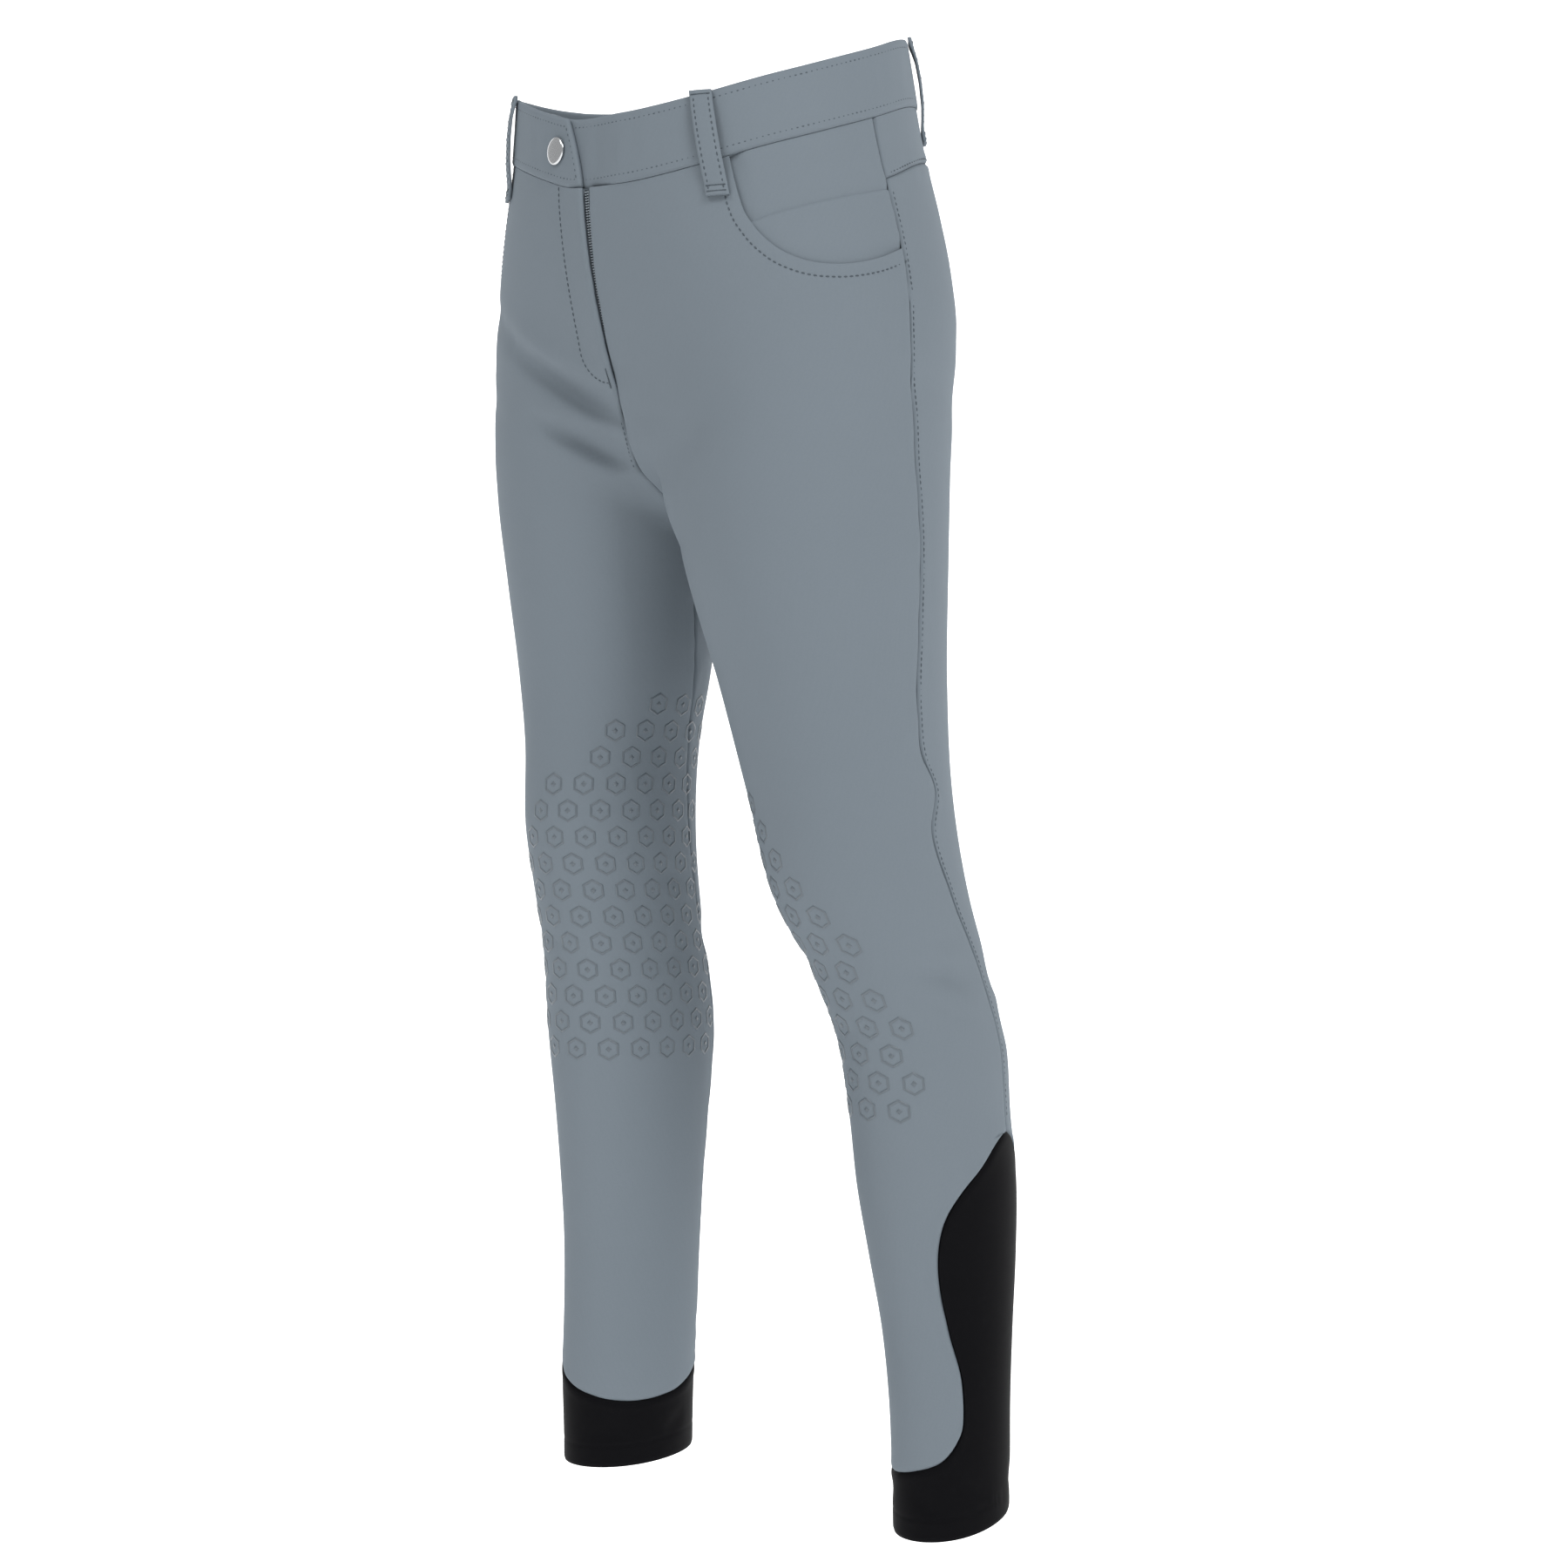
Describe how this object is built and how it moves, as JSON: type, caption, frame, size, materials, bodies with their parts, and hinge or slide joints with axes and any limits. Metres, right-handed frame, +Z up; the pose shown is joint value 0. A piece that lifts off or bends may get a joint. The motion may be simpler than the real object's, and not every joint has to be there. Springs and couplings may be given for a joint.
{
  "type": "riding breeches",
  "caption": "Riding breeches for women in stretch cloth with scoop pockets, belt loops, a snap and fly front, knee grips and smooth dark ankle panels",
  "frame": {"origin": "the middle of the waist opening at the side seams' height, where the wearer holds the breeches up", "axes": "+Z up along the wearer, -Y the way the wearer faces, +X the wearer's left"},
  "size_m": [0.3453, 0.2468, 0.9361],
  "materials": {
    "front_left": "matt stretch weave",
    "front_right": "matt stretch weave",
    "back_left": "matt stretch weave",
    "back_right": "matt stretch weave",
    "yoke_left": "matt stretch weave",
    "yoke_right": "matt stretch weave",
    "pocket_facing_left": "matt stretch weave",
    "pocket_facing_right": "matt stretch weave",
    "coin_pocket_left": "matt stretch weave",
    "coin_pocket_right": "matt stretch weave",
    "ankle_panel_left": "smooth dark stretch cloth",
    "ankle_panel_right": "smooth dark stretch cloth",
    "waistband": "matt stretch weave",
    "belt_loop_front_left": "matt stretch weave",
    "belt_loop_front_right": "matt stretch weave",
    "belt_loop_side_left": "matt stretch weave",
    "belt_loop_side_right": "matt stretch weave",
    "belt_loop_back": "matt stretch weave",
    "snap_cap": "polished metal cap",
    "fly_facing": "matt stretch weave",
    "zip_tape": "woven tape",
    "fly_shield": "matt stretch weave"
  },
  "bodies": {
    "root": {"front_left": "front_left", "front_right": "front_right", "back_left": "back_left", "back_right": "back_right", "yoke_left": "yoke_left", "yoke_right": "yoke_right", "pocket_facing_left": "pocket_facing_left", "pocket_facing_right": "pocket_facing_right", "coin_pocket_left": "coin_pocket_left", "coin_pocket_right": "coin_pocket_right", "ankle_panel_left": "ankle_panel_left", "ankle_panel_right": "ankle_panel_right", "waistband": "waistband", "belt_loop_front_left": "belt_loop_front_left", "belt_loop_front_right": "belt_loop_front_right", "belt_loop_side_left": "belt_loop_side_left", "belt_loop_side_right": "belt_loop_side_right", "belt_loop_back": "belt_loop_back", "snap_cap": "snap_cap", "fly_facing": "fly_facing", "zip_tape": "zip_tape", "fly_shield": "fly_shield"}
  },
  "joints": []
}
